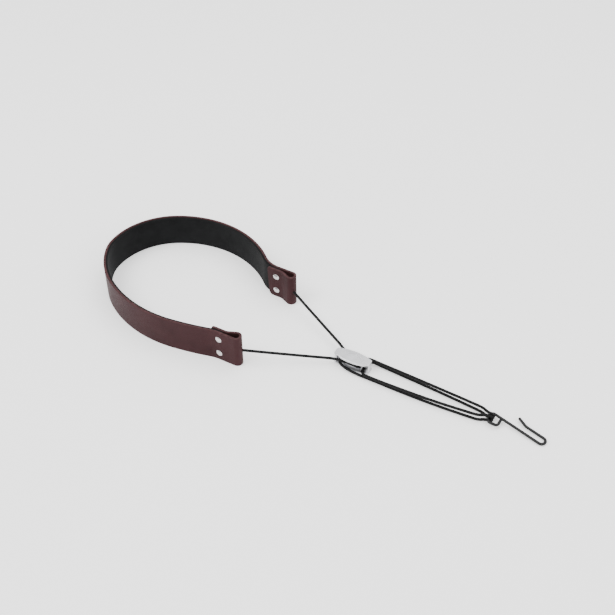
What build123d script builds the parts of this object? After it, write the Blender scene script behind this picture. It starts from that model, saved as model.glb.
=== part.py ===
"""Neck strap for a saxophone, lying on a table as it is laid out for packing.

A leather band stands on its lower edge in an open C.  Each end of it is folded back
into a loop and riveted.  One round cord is knotted inside both loops, runs through a
metal adjuster and round the eye of a wire hook.

Frame: +X runs along the strap from the neck band to the hook, +Y to the side, +Z up.
The table is Z = 0.  The strap's own centre line is the line Y = AXIS_Y.
All sizes are millimetres.
"""
from build123d import *
import math
import os

# ---------------------------------------------------------------- driving dimensions
AXIS_Y = -12.54           # the strap's centre line, so that the part is centred in Y
SHIFT_X = 2.155           # moves the strap along X, so that the part is centred in X

BAND_HEIGHT = 38.0
LEATHER = 2.6             # thickness of the leather
LINING = 1.85             # thickness of the suede lining
GLUE = 0.05               # gap between leather and lining
FLAP_GAP = LEATHER + LINING + 3 * GLUE   # between the middles of the outer layer and the flap
LINING_INSET = 0.6        # the lining stops short of the leather's two edges

TAB_Y = 60.0              # middle of the outer leather layer at each folded end
LOOP_X = -56.8            # centre of the round end of each fold
LOOP_R = 4.7              # radius of the fold, at the middle of the leather
LOOP_OPENING = 24         # angle by which the inner layer leans away, degrees
FLAP_STRAIGHT = 8.9       # the flat stretch of the flap under the rivets
FLAP_CURL = (45.0, 9)     # the flap curls gently towards its free edge: radius, degrees
FOLD_BEND_R = 12.0        # where the inner layer starts to lean away
NEAR_RUN = 18.5           # straight stretch between the near fold and the band's curve
LINING_END_X = -71.5
RIVET_X = -75.2
RIVET_HEIGHTS = (9.5, 28.5)
CORD_HOLE_Z = 18.0
FLAP_EDGE_X = (-84.4, -86.8)   # the flap's free edge at the bottom and at the top
FLAP_CORNER_R = (2.5, 5.0)     # its upper and lower corners

# the band's plan: (radius, turn in degrees), left turns positive
NEAR_SWEEP = (44.0, 15)
BAND_ARCS = [(356.0, -7), (140.0, -40), (100.0, -32), (50.0, -21), (76.9, -64), (110.0, -73)]
FAR_SWEEP = (32.3, 42)

RIVET_CAP_R = 3.7
RIVET_DOME = 1.6
RIVET_RIM = 0.35          # the straight edge of the cap, under its dome
RIVET_STEM_R = 1.2
RIVET_HOLE_R = 1.3
SEAT = 0.05               # play between a rivet's caps and the leather

CORD_R = 1.5
CORD_JOINT = 0.1          # each stretch of cord ends this much short of the next one
KNOT_R = 3.1
KNOT_HALF_HEIGHT = 4.6

PLATE_HALF = 20.2         # half the adjuster's length
PLATE_END = 4.3           # half its width at the two ends
PLATE_MIDDLE = 8.2        # half its width in the middle
PLATE = 2.0               # thickness of the top and base plates
WINDOW = 9.0              # height of the side windows
WALL = 3.0                # thickness of the two end walls
CORE_HALF = 9.5
CORE_R = 3.5
ADJUSTER_X = 50.0
SCREW_R = 0.75
SCREW_HEAD_R = 1.35
SCREW_X = [-18.3, 18.3]   # screws into the end walls
CORE_SCREW_X = [-5.0, 5.0]

WIRE_R = 1.5
BAR_X = 202.4             # the eye's end bar, which the cord goes round
BAR_Z = 4.8
EYE_LENGTH = 10.9
EYE_BOTTOM = -7.0         # the eye's two sides, across the strap
EYE_TOP = 6.6
EYE_END = 2.2             # where the wire's end closes the eye
SHANK = 58.6
SHANK_LEAN = -13          # degrees
HOOK_WIDTH = 8.6          # between the middles of the shank and the return
HOOK_RETURN = 24.7
TIP_FLARE = (-9.6, 6.7)
HOOK_TILT = 3.24          # the hook's far end rests on the table
BIGHT_R = 3.25            # middle of the cord round the bar


# ---------------------------------------------------------------- plan curves
class Walk:
    """A path of straight runs and tangent arcs in plan, with its sideways offsets."""

    def __init__(self, start, heading):
        self.x, self.y = start
        self.heading = heading
        self.steps = []

    def run(self, length):
        self.steps.append((self.x, self.y, self.heading, length, 0))
        self.x += length * math.cos(math.radians(self.heading))
        self.y += length * math.sin(math.radians(self.heading))

    def arc(self, radius, sweep):
        self.steps.append((self.x, self.y, self.heading, radius, sweep))
        turn = math.copysign(1, sweep)
        out = math.radians(self.heading - 90 * turn)
        cx = self.x - radius * math.cos(out)
        cy = self.y - radius * math.sin(out)
        self.heading += sweep
        out = math.radians(self.heading - 90 * turn)
        self.x = cx + radius * math.cos(out)
        self.y = cy + radius * math.sin(out)

    def edges(self, left):
        """The path's edges, moved to its left by the given distance."""
        found = []
        for x, y, heading, size, sweep in self.steps:
            h = math.radians(heading)
            nx, ny = -math.sin(h), math.cos(h)
            if sweep == 0:
                a = (x + left * nx, y + left * ny)
                b = (a[0] + size * math.cos(h), a[1] + size * math.sin(h))
                found.append(Line(a, b))
            else:
                turn = math.copysign(1, sweep)
                centre = (x + turn * size * nx, y + turn * size * ny)
                found.append(CenterArc(centre, size - turn * left, heading - 90 * turn, sweep))
        return found

    def strip(self, left, right):
        """The flat face between two offsets of the path."""
        a = self.edges(left)
        b = self.edges(right)
        ends = [Line(a[0] @ 0, b[0] @ 0), Line(a[-1] @ 1, b[-1] @ 1)]
        return make_face(Wire(a + b + ends))


def loop_steps(walk, first):
    """The folded end: the flap, the leaning layer and the round end, in travel order."""
    lean = math.radians(LOOP_OPENING)
    rise = 2 * LOOP_R - FLAP_GAP
    round_part = (LOOP_R + FOLD_BEND_R) * (1 - math.cos(lean))
    lean_run = (rise - round_part) / math.sin(lean)
    curl_radius, curl = FLAP_CURL
    steps = [(curl_radius, -curl), (FLAP_STRAIGHT, 0), (FOLD_BEND_R, LOOP_OPENING),
             (lean_run, 0), (LOOP_R, -180 - LOOP_OPENING)]
    if not first:
        steps.reverse()
    for size, sweep in steps:
        if sweep == 0:
            walk.run(size)
        else:
            walk.arc(size, sweep)


def leather_walk():
    """The middle of the leather, from the near flap's free end to the far flap's."""
    heading = FLAP_CURL[1]
    trial = Walk((0, 0), heading)
    loop_steps(trial, first=True)
    walk = Walk((LOOP_X - trial.x, -TAB_Y - trial.y), heading)
    loop_steps(walk, first=True)
    walk.run(NEAR_RUN)
    add_band(walk)
    walk.run(LOOP_X - walk.x)
    loop_steps(walk, first=False)
    return walk


def add_band(walk):
    for radius, sweep in [NEAR_SWEEP, *BAND_ARCS, FAR_SWEEP]:
        walk.arc(radius, sweep)


def lining_walk():
    """The same path, cut short so that it ends just past the rivets."""
    walk = Walk((LINING_END_X, -TAB_Y), -180)
    walk.run(LINING_END_X - LOOP_X + NEAR_RUN)
    add_band(walk)
    walk.run(LINING_END_X - walk.x)
    return walk


# ---------------------------------------------------------------- small helpers
def rod(x, y, z, direction, length, radius):
    """A cylinder that starts at a point and runs in a direction."""
    plane = Plane(origin=(x, y, z), z_dir=direction)
    return plane * Cylinder(radius, length, align=(Align.CENTER, Align.CENTER, Align.MIN))


def arc_radii(points):
    """The largest arcs a cord's route allows: 0.45 of the shorter run at each corner."""
    radii = []
    for a, b, c in zip(points, points[1:], points[2:]):
        first = Vector(b) - Vector(a)
        second = Vector(c) - Vector(b)
        half = math.radians(first.get_angle(second) / 2)
        radii.append(0.45 * min(first.length, second.length) / math.tan(half))
    return radii


def tube(name, points, radii=None, radius=CORD_R):
    """A round tube along straight runs joined by tangent arcs, clear of its neighbours' ends."""
    first = Vector(points[1]) - Vector(points[0])
    last = Vector(points[-2]) - Vector(points[-1])
    points = [Vector(point) for point in points]
    points[0] += first.normalized() * CORD_JOINT
    points[-1] += last.normalized() * CORD_JOINT
    if len(points) == 2:
        path = Wire([Line(points[0], points[1])])
        radii = []
    else:
        radii = radii or arc_radii(points)
        path = Wire(FilletPolyline(*points, radius=radii).edges())
    section = Plane(origin=path @ 0, z_dir=path % 0) * Circle(radius)
    solid = sweep(section, path=path)
    ideal = math.pi * radius ** 2 * path.length
    print(f"{name}: length {path.length:.1f}, radii {[round(r, 1) for r in radii]},",
          f"volume against section x length {solid.volume / ideal:.4f}")
    return solid


# ---------------------------------------------------------------- the band
def rivet_holes(side):
    """Drills through one folded end for its two rivets."""
    return [rod(RIVET_X, side * (TAB_Y - 12), z, (0, side, 0), 20, RIVET_HOLE_R)
            for z in RIVET_HEIGHTS]


def leather_cuts(side):
    """The rivets' holes, the flat seats under their outer caps, and the cord's hole."""
    seat_y = rivet_faces(side)[1]
    seats = [rod(RIVET_X, seat_y, z, (0, side, 0), LEATHER, RIVET_CAP_R + SEAT) for z in RIVET_HEIGHTS]
    cord_hole = rod(*knot_centre(side), upper_direction(side), 2 * LOOP_R, CORD_R + 0.2)
    return rivet_holes(side) + seats + [cord_hole]


def knot_centre(side):
    return (LOOP_X, side * (TAB_Y - LOOP_R), CORD_HOLE_Z)


def upper_direction(side):
    """The way an upper cord leaves its fold, towards the adjuster."""
    start = NEAR_PASS[0] if side < 0 else FAR_PASS[0]
    return (Vector(start) - Vector(knot_centre(side))).normalized()


def flap_trim(side):
    """What is cut off the flap: a raked free edge with two round corners."""
    low, high = FLAP_EDGE_X
    corners = [(RIVET_X, 0), (low, 0), (high, BAND_HEIGHT), (RIVET_X, BAND_HEIGHT)]
    kept = make_face(Polyline(*corners, close=True))
    upper_r, lower_r = FLAP_CORNER_R
    kept = fillet(kept.vertices().sort_by_distance((high, BAND_HEIGHT, 0))[0], upper_r)
    kept = fillet(kept.vertices().sort_by_distance((low, 0, 0))[0], lower_r)
    blank = Pos(RIVET_X - 10, BAND_HEIGHT / 2) * Rectangle(20, BAND_HEIGHT + 4)
    reach = 3.8
    middle = side * (TAB_Y - LEATHER / 2 - LINING - GLUE - reach)
    return extrude(Pos(0, middle, 0) * Plane.XZ * (blank - kept), reach, both=True)


def leather_band():
    face = leather_walk().strip(LEATHER / 2, -LEATHER / 2)
    band = extrude(face, BAND_HEIGHT, dir=(0, 0, 1))
    for side in (-1, 1):
        band -= flap_trim(side)
        for cut in leather_cuts(side):
            band -= cut
    return band


def suede_lining():
    outer = -LEATHER / 2 - GLUE
    face = lining_walk().strip(outer, outer - LINING)
    lining = extrude(Pos(0, 0, LINING_INSET) * face, BAND_HEIGHT - 2 * LINING_INSET, dir=(0, 0, 1))
    for side in (-1, 1):
        for drill in rivet_holes(side):
            lining -= drill
    return lining


def dome(radius, height):
    """A shallow round cap that stands on Z = 0."""
    corner = (radius, 0)
    rim = (radius, RIVET_RIM)
    rise = height - RIVET_RIM
    big = (radius ** 2 + rise ** 2) / (2 * rise)
    half = math.asin(radius / big) / 2
    shoulder = (big * math.sin(half), height - big + big * math.cos(half))
    outline = [Line((0, 0), corner), Line(corner, rim),
               ThreePointArc(rim, shoulder, (0, height)), Line((0, height), (0, 0))]
    return revolve(Plane.XZ * make_face(Wire(outline)), axis=Axis.Z)


def rivet_faces(side):
    """Y of the flap's inner face and of the outer leather's outer face at the rivets."""
    outer = side * (TAB_Y + LEATHER / 2)
    inner = side * (TAB_Y - FLAP_GAP - LEATHER / 2)
    return inner, outer


def rivet_caps(side):
    """The outer caps, each with a blind socket for its stem."""
    inner, outer = rivet_faces(side)
    cap = dome(RIVET_CAP_R, RIVET_DOME) - Cylinder(RIVET_STEM_R + 0.05, 1.0)
    return [Plane(origin=(RIVET_X, outer + side * SEAT, z), z_dir=(0, side, 0)) * cap
            for z in RIVET_HEIGHTS]


def rivet_posts(side):
    """The inner caps with their stems, which run through all the layers."""
    inner, outer = rivet_faces(side)
    stem_length = abs(outer - inner) + 2 * SEAT + 0.4
    stem = Cylinder(RIVET_STEM_R, stem_length, align=(Align.CENTER, Align.CENTER, Align.MAX))
    post = dome(RIVET_CAP_R, RIVET_DOME) + stem
    return [Plane(origin=(RIVET_X, inner - side * SEAT, z), z_dir=(0, -side, 0)) * post
            for z in RIVET_HEIGHTS]


def stopper_knot(side):
    knot = Cylinder(KNOT_R, 2 * KNOT_HALF_HEIGHT)
    knot = fillet(knot.edges().filter_by(GeomType.CIRCLE), KNOT_R - 0.3)
    return Pos(*knot_centre(side)) * knot


# ---------------------------------------------------------------- the adjuster
def boat_outline():
    """The plates' plan: two bowed sides and two short straight ends."""
    x, end, middle = PLATE_HALF, PLATE_END, PLATE_MIDDLE
    sides = [ThreePointArc((-x, end), (0, middle), (x, end)), Line((x, end), (x, -end)),
             ThreePointArc((x, -end), (0, -middle), (-x, -end)), Line((-x, -end), (-x, end))]
    return make_face(Wire(sides))


def adjuster_top():
    """The top plate with the two end walls, and a plain oval ring pressed into its top."""
    top_z = PLATE + WINDOW
    plate = extrude(Pos(0, 0, top_z) * boat_outline(), PLATE, dir=(0, 0, 1))
    plate = fillet(plate.edges().filter_by(Axis.Z), 1.2)
    plate = fillet(plate.faces().sort_by(Axis.Z)[-1].edges(), 0.5)
    ring = extrude(Ellipse(7.0, 3.6) - Ellipse(6.3, 2.9), 0.6, both=True)
    plate -= Pos(0, 0, top_z + PLATE) * ring & Pos(0, 0, top_z + PLATE) * Box(20, 20, 0.4)
    wall = Box(WALL, 2 * PLATE_END - 0.6, WINDOW, align=(Align.CENTER, Align.CENTER, Align.MIN))
    wall = fillet(wall.edges().filter_by(Axis.Z), 0.9)
    for x in SCREW_X:
        plate += Pos(x, 0, PLATE) * wall
        plate -= Pos(x, 0, PLATE) * Cylinder(SCREW_R, 10)
    return plate


def adjuster_base():
    plate = extrude(boat_outline(), PLATE, dir=(0, 0, 1))
    plate = fillet(plate.edges().filter_by(Axis.Z), 1.2)
    for x in SCREW_X + CORE_SCREW_X:
        plate -= Pos(x, 0, 0) * Cylinder(SCREW_R + 0.1, 3 * PLATE)
        plate -= Pos(x, 0, 0) * Cone(SCREW_HEAD_R + 0.1, SCREW_R + 0.1, 1.1,
                                     align=(Align.CENTER, Align.CENTER, Align.MIN))
    return plate


def adjuster_core():
    """The post that the cord bears on, between the two side windows."""
    core = extrude(Pos(0, 0, PLATE) * SlotOverall(2 * CORE_HALF, 2 * CORE_R), WINDOW, dir=(0, 0, 1))
    for x in CORE_SCREW_X:
        core -= Pos(x, 0, PLATE) * Cylinder(SCREW_R, 10)
    return core


def adjuster_screws():
    """Four countersunk screws, up through the base into the end walls and the core."""
    head = Cone(SCREW_HEAD_R, SCREW_R - 0.05, 1.0, align=(Align.CENTER, Align.CENTER, Align.MIN))
    shank = Cylinder(SCREW_R - 0.05, 5.6, align=(Align.CENTER, Align.CENTER, Align.MIN))
    screw = head + shank - Box(2.4, 0.5, 0.8)
    return [Pos(x, 0, 0.05) * screw for x in SCREW_X + CORE_SCREW_X]


# ---------------------------------------------------------------- the hook
def hook_wire():
    """One bent wire: the closed eye, the shank, the bend, the return and the flared tip."""
    lean = math.radians(SHANK_LEAN)
    along = Vector(math.cos(lean), math.sin(lean))
    across = Vector(-math.sin(lean), math.cos(lean))
    corner = Vector(0, EYE_TOP)
    bend_a = corner + along * SHANK
    bend_b = bend_a + across * HOOK_WIDTH
    back = bend_b - along * HOOK_RETURN
    tip = back + Vector(*TIP_FLARE)
    eye = [Vector(EYE_LENGTH, EYE_END), Vector(EYE_LENGTH, EYE_BOTTOM), Vector(0, EYE_BOTTOM)]
    flat = [*eye, corner, bend_a, bend_b, back, tip]
    radii = [3.2, 3.4, 2.6, 4.0, 4.0, 9.0]
    path = Wire(FilletPolyline(*flat, radius=radii).edges())
    section = Plane(origin=path @ 0, z_dir=path % 0) * Circle(WIRE_R)
    wire = sweep(section, path=path)
    print(f"hook_wire: length {path.length:.1f}, volume against section x length",
          f"{wire.volume / (math.pi * WIRE_R ** 2 * path.length):.4f}")
    return Pos(BAR_X, 0, BAR_Z) * Rot(0, HOOK_TILT, 0) * wire


# ---------------------------------------------------------------- the cord's route
# Each list is one stretch of the single cord, in order from the near knot to the far knot.
NEAR_PASS = [(26.0, -10.8, 8.5), (37.5, -6.2, 8.3), (61.4, -6.2, 7.7), (61.4, 10.0, 8.3),
             (76.0, 9.3, 8.2)]
FAR_TOP = [(76.0, 9.3, 8.2), (110.0, 8.4, 8.2), (147.0, 7.1, 8.15), (184.0, 5.6, 8.1)]
FAR_BIGHT = [(184.0, 5.6, 8.1), (193.5, 4.9, 8.1), (198.6, 2.0, 8.1), (205.7, 1.65, 8.1),
             (205.7, 1.65, 1.5), (198.6, 2.0, 1.52), (193.5, 4.9, 1.55), (184.0, 5.9, 1.55)]
FAR_BOTTOM = [(184.0, 5.9, 1.55), (147.0, 8.6, 1.55), (110.0, 10.6, 1.6), (77.0, 12.1, 1.9)]
MIDDLE_PASS = [(77.0, 12.1, 1.9), (63.4, 12.2, 3.2), (63.4, -10.6, 5.0), (77.0, -11.4, 5.2)]
NEAR_TOP = [(77.0, -11.4, 5.2), (110.0, -11.3, 6.1), (147.0, -10.4, 7.0), (184.0, -7.4, 7.85)]
NEAR_BIGHT = [(184.0, -7.4, 7.85), (193.2, -6.4, 8.05), (198.8, -2.3, 8.1), (205.7, -1.8, 8.1),
              (205.7, -1.8, 1.5), (198.8, -2.3, 1.52), (193.2, -6.4, 1.55), (184.0, -7.2, 1.55)]
NEAR_BOTTOM = [(184.0, -7.2, 1.55), (147.0, -9.9, 1.55), (110.0, -10.7, 1.6), (76.0, -10.4, 1.6)]
FAR_PASS = [(25.0, 15.6, 8.1), (36.75, 8.8, 6.8), (36.75, -7.8, 4.8), (50.0, -10.9, 3.2),
            (63.0, -10.9, 2.0), (76.0, -10.4, 1.6)]

NEAR_PASS_RADII = [24.0, 5.3, 5.6]
BIGHT_RADII = [12.0, 11.0, BIGHT_R, BIGHT_R, 11.0, 12.0]


def upper_cord(side):
    """The straight stretch from the knot inside a fold to the adjuster."""
    start = Vector(*knot_centre(side)) + upper_direction(side) * (KNOT_R + 0.2)
    end = NEAR_PASS[0] if side < 0 else FAR_PASS[0]
    return [tuple(start), end]


def cords():
    """Every stretch of the cord, by node name."""
    return {
        "near_upper_cord": tube("near_upper_cord", upper_cord(-1)),
        "far_upper_cord": tube("far_upper_cord", upper_cord(1)),
        "near_pass_in_adjuster": tube("near_pass_in_adjuster", NEAR_PASS, NEAR_PASS_RADII),
        "middle_pass_in_adjuster": tube("middle_pass_in_adjuster", MIDDLE_PASS),
        "far_pass_in_adjuster": tube("far_pass_in_adjuster", FAR_PASS),
        "far_top_strand": tube("far_top_strand", FAR_TOP),
        "far_bottom_strand": tube("far_bottom_strand", FAR_BOTTOM),
        "near_top_strand": tube("near_top_strand", NEAR_TOP),
        "near_bottom_strand": tube("near_bottom_strand", NEAR_BOTTOM),
        "far_bight": tube("far_bight", FAR_BIGHT, BIGHT_RADII),
        "near_bight": tube("near_bight", NEAR_BIGHT, BIGHT_RADII),
    }


# ---------------------------------------------------------------- the whole strap
def strap():
    """Every node's shape, by name, about the strap's own centre line."""
    adjuster = Pos(ADJUSTER_X, 0, 0)
    nodes = {
        "leather_band": leather_band(),
        "suede_lining": suede_lining(),
        "near_rivet_caps": rivet_caps(-1),
        "near_rivet_posts": rivet_posts(-1),
        "far_rivet_caps": rivet_caps(1),
        "far_rivet_posts": rivet_posts(1),
        "near_stopper_knot": stopper_knot(-1),
        "far_stopper_knot": stopper_knot(1),
        "adjuster_top": adjuster * adjuster_top(),
        "adjuster_base": adjuster * adjuster_base(),
        "adjuster_core": adjuster * adjuster_core(),
        "adjuster_screws": [adjuster * screw for screw in adjuster_screws()],
        "hook_wire": hook_wire(),
    }
    nodes.update(cords())
    return nodes


def export_all():
    os.makedirs("parts", exist_ok=True)
    place = Pos(SHIFT_X, AXIS_Y, 0)
    for name, shape in strap().items():
        solids = shape if isinstance(shape, list) else [shape]
        moved = Compound(children=[place * solid for solid in solids])
        export_step(moved, f"parts/{name}.step")


export_all()
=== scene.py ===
"""The look of a saxophone neck strap: band, lining, rivets, braided cord, adjuster and hook.

Everything is in metres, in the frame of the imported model: +X runs from the neck band to the hook,
+Z is up, and the strap lies on Z = 0.
"""
import math

import bpy
import numpy as np
from bpy.props import FloatProperty, FloatVectorProperty, IntProperty, PointerProperty
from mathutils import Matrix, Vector


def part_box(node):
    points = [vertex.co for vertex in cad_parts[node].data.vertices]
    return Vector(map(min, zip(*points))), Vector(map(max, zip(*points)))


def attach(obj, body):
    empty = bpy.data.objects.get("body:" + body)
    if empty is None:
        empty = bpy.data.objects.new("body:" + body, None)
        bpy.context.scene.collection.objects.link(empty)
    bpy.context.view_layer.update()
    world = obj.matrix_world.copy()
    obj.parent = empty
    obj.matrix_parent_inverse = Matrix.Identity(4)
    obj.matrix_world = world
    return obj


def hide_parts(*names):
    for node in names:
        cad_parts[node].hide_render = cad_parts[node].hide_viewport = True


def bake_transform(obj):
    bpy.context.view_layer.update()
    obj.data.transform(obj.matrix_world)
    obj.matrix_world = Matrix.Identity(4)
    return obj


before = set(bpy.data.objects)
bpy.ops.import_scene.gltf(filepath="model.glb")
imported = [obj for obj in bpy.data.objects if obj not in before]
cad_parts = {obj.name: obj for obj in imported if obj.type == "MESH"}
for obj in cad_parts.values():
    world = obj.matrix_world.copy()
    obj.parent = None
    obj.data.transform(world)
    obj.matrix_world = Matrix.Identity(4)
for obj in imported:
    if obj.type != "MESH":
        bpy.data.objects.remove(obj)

bl_info = {
    "name": "Saxophone neck strap",
    "version": (1, 0, 0),
    "blender": (4, 5, 0),
    "location": "View3D > Sidebar > Neck strap",
    "description": "Builds the visible surfaces of a leather neck strap around its packed model",
    "category": "Object",
}

MM = 0.001

# ---- the strap's own places
STRAP_Y = -12.54 * MM          # the strap's centre line
STRAP_X = 2.155 * MM           # where the strap's own X = 0 lies

BAND_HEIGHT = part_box("leather_band")[1].z
TAB_Y = 60.0 * MM              # middle of the outer leather layer at each folded end
LOOP_X = -56.8 * MM            # centre of the round end of each fold
LOOP_R = 4.7 * MM
LOOP_LEAN = math.radians(24)   # the inner layer leans away by this much
FLAP_RUN = 8.9 * MM
FLAP_CURL = (45.0 * MM, math.radians(-9))
FOLD_BEND_R = 12.0 * MM
NEAR_RUN = 18.5 * MM
LINING_END_X = -71.5 * MM
GLUE = 0.05 * MM
LINING_INSET = 0.6 * MM
RIVET_X = -75.2 * MM
RIVET_HEIGHTS = (9.5 * MM, 28.5 * MM)
FLAP_EDGE_X = (-84.4 * MM, -86.8 * MM)   # free edge of the flap at its bottom and at its top
FLAP_CORNER_R = (5.0 * MM, 2.5 * MM)     # its bottom and top corners
CORD_HOLE_Z = 18.0 * MM
LEATHER_EDGE_R = 0.55 * MM
LINING_EDGE_R = 0.4 * MM
FLAP_FADE = 14 * MM            # the rake of a flap's edge dies out over this much of the band
SWELL_RING_R = 6.2 * MM        # the leather stands out in a ring of this radius round a rivet
SWELL_WIDTH = 1.8 * MM

# the band's plan: (radius in mm, turn in degrees), left turns positive
NEAR_SWEEP = (44.0, 15)
BAND_ARCS = [(356.0, -7), (140.0, -40), (100.0, -32), (50.0, -21), (76.9, -64), (110.0, -73)]
FAR_SWEEP = (32.3, 42)

# the cord's route from the near knot's side to the far one's, in mm: through the adjuster, round
# the eye of the hook, back, round the eye again, and through the adjuster
NEAR_PASS = [(26.0, -10.8, 8.5), (37.5, -6.2, 8.3), (53.5, -6.2, 7.9), (61.4, -6.2, 7.7),
             (61.4, 1.8, 8.0), (61.4, 10.0, 8.3), (76.0, 9.3, 8.2)]
FAR_TOP = [(110.0, 8.4, 8.2), (147.0, 7.1, 8.15), (184.0, 5.6, 8.1)]
FAR_BIGHT = [(193.5, 4.9, 8.1), (198.6, 2.0, 8.1), (205.7, 1.65, 8.1), (205.7, 1.65, 1.5),
             (198.6, 2.0, 1.52), (193.5, 4.9, 1.55), (184.0, 5.9, 1.55)]
FAR_BOTTOM = [(147.0, 8.6, 1.55), (110.0, 10.6, 1.6), (77.0, 12.1, 1.9)]
MIDDLE_PASS = [(63.4, 12.2, 3.2), (63.4, -10.6, 5.0), (77.0, -11.4, 5.2)]
NEAR_TOP = [(110.0, -11.3, 6.1), (147.0, -10.4, 7.0), (184.0, -7.4, 7.85)]
NEAR_BIGHT = [(193.2, -6.4, 8.05), (198.8, -2.3, 8.1), (205.7, -1.8, 8.1), (205.7, -1.8, 1.5),
              (198.8, -2.3, 1.52), (193.2, -6.4, 1.55), (184.0, -7.2, 1.55)]
NEAR_BOTTOM = [(147.0, -9.9, 1.55), (110.0, -10.7, 1.6), (76.0, -10.4, 1.6)]
FAR_PASS = [(63.0, -10.9, 2.0), (50.0, -10.9, 3.2), (36.75, -7.8, 4.8), (36.75, 5.5, 6.4),
            (36.75, 8.8, 6.8), (33.9, 10.45, 7.1), (25.0, 15.6, 8.1)]
MAIN_ROUTE = (NEAR_PASS + FAR_TOP + FAR_BIGHT + FAR_BOTTOM + MIDDLE_PASS + NEAR_TOP + NEAR_BIGHT
              + NEAR_BOTTOM + FAR_PASS)
GUIDE_TURN_X = (110, 180)      # the cord's section turns from upright to level between these
UPPER_START = 3.0 * MM         # an upper cord starts this far from its knot's middle
UPPER_SAG = 0.4 * MM
KNOT_TURNS = 3.1
KNOT_REACH = 1.75 * MM
KNOT_HEIGHT = 7.2 * MM
KNOT_CORD_R = 1.3 * MM
CROWN_POWER = 0.6              # a lower power makes a yarn's top flatter
YARN_DIP = 0.35                # share of its height that a yarn loses at its ends

# the hook's flat path, in mm from the middle of its eye's end bar
BAR = (202.4, 0.0, 4.8)
EYE = [(10.9, 2.2), (10.9, -7.0), (0.0, -7.0), (0.0, 6.6)]
SHANK = 58.6
SHANK_LEAN = math.radians(-13)
HOOK_WIDTH = 8.6
HOOK_RETURN = 24.7
TIP_FLARE = (-9.6, 6.7)
HOOK_RADII = [3.2, 3.4, 2.6, 4.0, 4.0, 9.0]
HOOK_TILT = math.radians(3.24)
HOOK_STEP = 0.4 * MM
HOOK_SIDES = 32

NOISE_SPAN = (0.3, 0.7)        # where most values of a noise texture lie

# each light's place, size and power
LIGHTS = {"key_light": ((-0.9, -0.9, 1.9), 1.4, 40.0), "fill_light": ((1.5, -0.4, 1.3), 1.6, 18.0),
          "top_light": ((0.1, 0.9, 2.0), 1.8, 21.0)}
ROOM_LIGHT = 1.25
FLOOR_GLOW = 0.45
FLOOR_HALF = 4.0
FLOOR_DROP = 0.0001            # the floor lies this far below the strap, so that they don't flicker


def placed(points):
    """Points of the strap's own frame, in mm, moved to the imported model's frame, in metres."""
    return np.asarray(points, float) * MM + np.array([STRAP_X, STRAP_Y, 0.0])


# ---- sizes and colours a user may change
def length_property(name, description, default):
    return FloatProperty(name=name, description=description, default=default, unit="LENGTH")


def colour_property(name, description, default):
    return FloatVectorProperty(name=name, description=description, default=default, subtype="COLOR")


class BandSettings(bpy.types.PropertyGroup):
    """Leather band and lining."""
    leather: length_property("Leather", "Thickness of the leather", 2.6 * MM)
    lining: length_property("Lining", "Thickness of the suede lining", 1.85 * MM)
    step: length_property("Step", "Distance between stations along the band", 1.0 * MM)
    rows: IntProperty(name="Rows", description="Rows of the surface over the band's height",
                      default=30, min=8)
    pinch: length_property("Rivet pinch", "How far the leather swells round a rivet", 0.3 * MM)
    grain_side: colour_property("Grain side", "Colour of the leather's face",
                                (0.041, 0.0160, 0.0178))
    flesh_side: colour_property("Flesh side", "Colour of the leather's back",
                                (0.026, 0.0075, 0.0075))
    cut_edge: colour_property("Cut edge", "Colour of the leather's cut edges",
                              (0.054, 0.0250, 0.0265))
    suede: colour_property("Suede", "Colour of the lining", (0.0050, 0.0052, 0.0055))


class CordSettings(bpy.types.PropertyGroup):
    """The round braided cord."""
    diameter: length_property("Diameter", "Diameter of the cord", 3.1 * MM)
    sides: IntProperty(name="Sides", description="Faces round the cord", default=32, min=12)
    step: length_property("Step", "Distance between rings of the cord", 0.36 * MM)
    yarns: IntProperty(name="Yarns", description="Yarns of the braid in each direction", default=8)
    pitch: length_property("Pitch", "Length of one crossing of the braid", 1.44 * MM)
    relief: length_property("Relief", "Height of the yarns", 0.12 * MM)
    colour: colour_property("Colour", "Colour of the cord", (0.0045, 0.0045, 0.0048))


class MetalSettings(bpy.types.PropertyGroup):
    """Adjuster, rivets, screws and hook."""
    wire: length_property("Hook wire", "Diameter of the hook's wire", 3.0 * MM)
    satin: colour_property("Satin", "Colour of the adjuster", (0.64, 0.64, 0.66))
    nickel: colour_property("Nickel", "Colour of the rivets", (0.56, 0.53, 0.53))
    steel: colour_property("Steel", "Colour of the screws", (0.55, 0.55, 0.57))
    enamel: colour_property("Enamel", "Colour of the hook", (0.0050, 0.0050, 0.0054))


class StageSettings(bpy.types.PropertyGroup):
    """Floor, lights and camera."""
    aim: FloatVectorProperty(name="Aim", description="Point the camera looks at", subtype="XYZ",
                             default=(-0.0336, 0.0424, 0.0))
    azimuth: FloatProperty(name="Azimuth", description="Camera's direction round the strap",
                           subtype="ANGLE", default=math.radians(29.79))
    elevation: FloatProperty(name="Elevation", description="Camera's angle above the floor",
                             subtype="ANGLE", default=math.radians(42.0))
    distance: length_property("Distance", "From the camera to its aim", 1.111)
    lens: FloatProperty(name="Lens", description="Focal length, for a 36 mm sensor", default=58.54)
    floor: colour_property("Floor", "Colour of the floor", (0.92, 0.92, 0.92))


# ---- shader helpers
def new_node(tree, kind, inputs=None, **settings):
    """A shader node with its settings and its unlinked input values."""
    node = tree.nodes.new(kind)
    for name, value in settings.items():
        setattr(node, name, value)
    for name, value in (inputs or {}).items():
        node.inputs[name].default_value = value
    return node


def feed(source, target):
    """Links an output to an input of the same tree, or gives the input a plain value."""
    if isinstance(source, bpy.types.NodeSocket):
        target.id_data.links.new(source, target)
    else:
        target.default_value = source


def math_node(tree, operation, first, second=None, clamp=False):
    """One Math node; first and second are sockets or numbers. Gives its output socket."""
    node = new_node(tree, "ShaderNodeMath", operation=operation, use_clamp=clamp)
    for place, value in enumerate((first, second)):
        if value is not None:
            feed(value, node.inputs[place])
    return node.outputs[0]


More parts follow.
